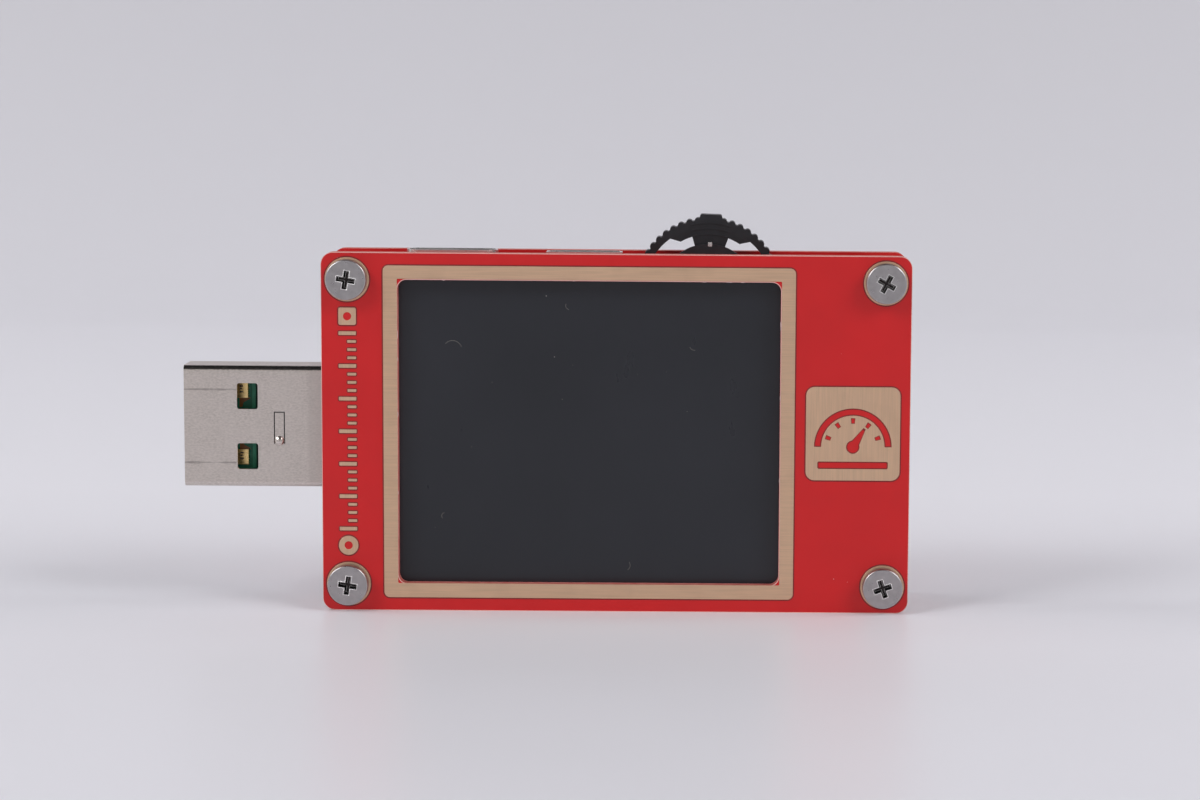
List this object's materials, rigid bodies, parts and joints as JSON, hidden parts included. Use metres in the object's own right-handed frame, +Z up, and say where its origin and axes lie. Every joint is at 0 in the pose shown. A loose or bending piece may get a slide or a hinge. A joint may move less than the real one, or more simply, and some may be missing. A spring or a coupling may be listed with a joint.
{
  "type": "usb power meter",
  "caption": "Small in-line USB power meter: stacked red board panels with a screen, a USB-A plug and socket, USB-C and micro sockets and a toothed jog dial.",
  "frame": {"origin": "middle of the box around the whole object, on the surface that it stands on", "axes": "+X runs from the USB-A plug to the USB-A socket, the screen faces -Y, +Z is up towards the dial"},
  "size_m": [0.0712, 0.0128, 0.0388],
  "materials": {
    "red_board": "satin",
    "inner_board": "satin",
    "nickel_brass": "satin",
    "screw_steel": "satin",
    "screen_frame": "matt",
    "screen_face": "gloss",
    "screen_glass": "gloss",
    "clear_plastic": "gloss",
    "white_film": "satin",
    "silicon": "gloss",
    "ribbon_film": "satin",
    "socket_plastic": "matt",
    "plug_shell": "satin",
    "green_plastic": "matt",
    "gold_contacts": "gloss",
    "socket_shell": "satin",
    "dial_plastic": "matt",
    "spring_steel": "satin",
    "chip_plastic": "matt",
    "ceramic_tan": "matt"
  },
  "bodies": {
    "case": {"front_panel": "red_board", "back_panel": "red_board", "main_board": "inner_board", "front_standoffs": "nickel_brass", "rear_standoffs": "nickel_brass", "front_screws": "screw_steel", "rear_screws": "screw_steel", "screen_backlight_frame": "screen_frame", "screen_polarizer": "screen_face", "screen_front_glass": "screen_glass", "screen_rear_glass": "screen_glass", "screen_light_guide": "clear_plastic", "screen_reflector": "white_film", "screen_driver_chip": "silicon", "screen_ribbon": "ribbon_film", "screen_ribbon_connector": "socket_plastic", "usb_a_plug_shell": "plug_shell", "usb_a_plug_tongue": "green_plastic", "usb_a_plug_contacts": "gold_contacts", "usb_a_socket_shell": "plug_shell", "usb_a_socket_tongue": "green_plastic", "usb_a_socket_contacts": "gold_contacts", "usb_c_socket_shell": "socket_shell", "usb_c_socket_tongue": "socket_plastic", "usb_c_socket_contacts": "gold_contacts", "micro_usb_socket_shell": "socket_shell", "micro_usb_socket_tongue": "socket_plastic", "micro_usb_socket_contacts": "gold_contacts", "dial_base": "dial_plastic", "dial_index_pin": "socket_shell", "dial_return_spring": "spring_steel", "dial_cover": "socket_shell", "dial_terminals": "socket_shell", "microcontroller": "chip_plastic", "flash_chip": "chip_plastic", "shunt_resistor": "chip_plastic", "power_switches": "chip_plastic", "regulator_chip": "chip_plastic", "inductor": "chip_plastic", "crystal": "socket_shell", "chip_capacitors": "ceramic_tan", "chip_resistors": "chip_plastic"},
    "dial_slider": {"dial_carriage": "dial_plastic"},
    "dial": {"dial_wheel": "dial_plastic", "dial_centring_spring": "spring_steel"}
  },
  "joints": [
    {"name": "dial_press", "type": "slide", "parent": "case", "child": "dial_slider", "axis": [0, 0, -1], "range_m": [0, 0.0005], "stiffness_N_per_m": 1500, "springref_m": -0.0002, "deforming": ["dial_return_spring"]},
    {"name": "dial_turn", "type": "hinge", "parent": "dial_slider", "child": "dial", "pos_m": [0.01579, 0.0021, 0.03112], "axis": [0, 1, 0], "range_deg": [-12, 12], "stiffness_Nm_per_rad": 0.02}
  ]
}
